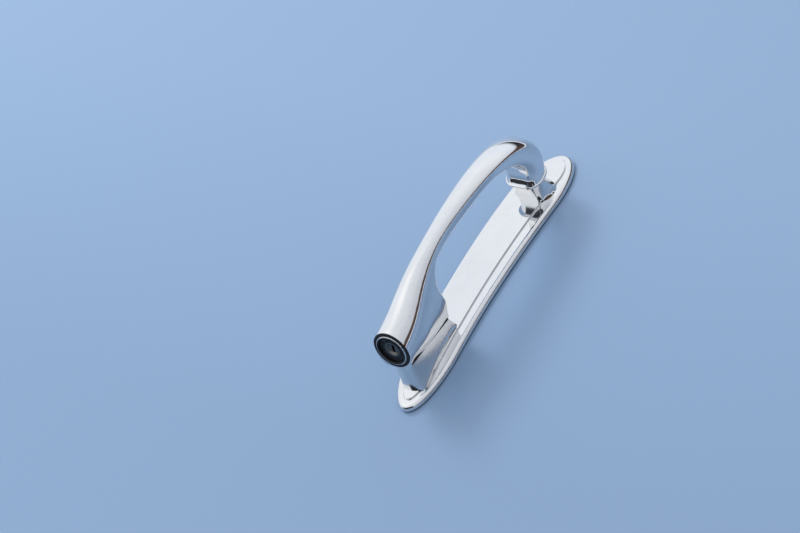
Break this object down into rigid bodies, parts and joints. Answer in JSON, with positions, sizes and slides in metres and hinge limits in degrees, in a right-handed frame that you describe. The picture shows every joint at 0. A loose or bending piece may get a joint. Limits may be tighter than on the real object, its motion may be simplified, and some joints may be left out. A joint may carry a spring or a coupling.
{
  "type": "boot lid grip handle with push-button lock",
  "caption": "Arched chrome grip on a long round-ended plate, swelling into a lock barrel whose push button has a key plug.",
  "frame": {"origin": "middle of the gasket's underside, where the handle lies on the curved lid", "axes": "+Z out of the lid, +Y along the plate towards the slim upper foot, -Y towards the lock, +X to the car's right"},
  "size_m": [0.032, 0.178, 0.0785],
  "materials": {
    "chrome": "mirror-polished chrome plate",
    "bezel_chrome": "polished chrome trim ring",
    "gasket_rubber": "matt black rubber",
    "button_black": "glossy black, with turned rings",
    "plug_steel": "turned steel",
    "stud_steel": "zinc-plated steel"
  },
  "bodies": {
    "handle": {"gasket": "gasket_rubber", "base_plate": "chrome", "seat_pad": "gasket_rubber", "ferrule": "chrome", "grip": "chrome", "lock_bezel": "button_black", "front_stud": "stud_steel", "rear_stud": "stud_steel"},
    "button": {"push_button": "button_black", "button_trim": "bezel_chrome"},
    "plug": {"key_plug": "plug_steel"},
    "plunger": {"release_plunger": "stud_steel"}
  },
  "joints": [
    {"name": "button_push", "type": "slide", "parent": "handle", "child": "button", "axis": [0, 0.9833, -0.1822], "range_m": [0, 0.005], "stiffness_N_per_m": 500, "springref_m": -0.002},
    {"name": "key_turn", "type": "hinge", "parent": "button", "child": "plug", "pos_m": [0, -0.0767, 0.0286], "axis": [0, -0.9833, 0.1822], "range_deg": [0, 90]},
    {"name": "plunger_drop", "type": "slide", "parent": "handle", "child": "plunger", "axis": [0, 0, -1], "range_m": [0, 0.005]}
  ],
  "couplings": [
    {"joint": "plunger_drop", "follows": "button_push", "ratio": 1}
  ]
}
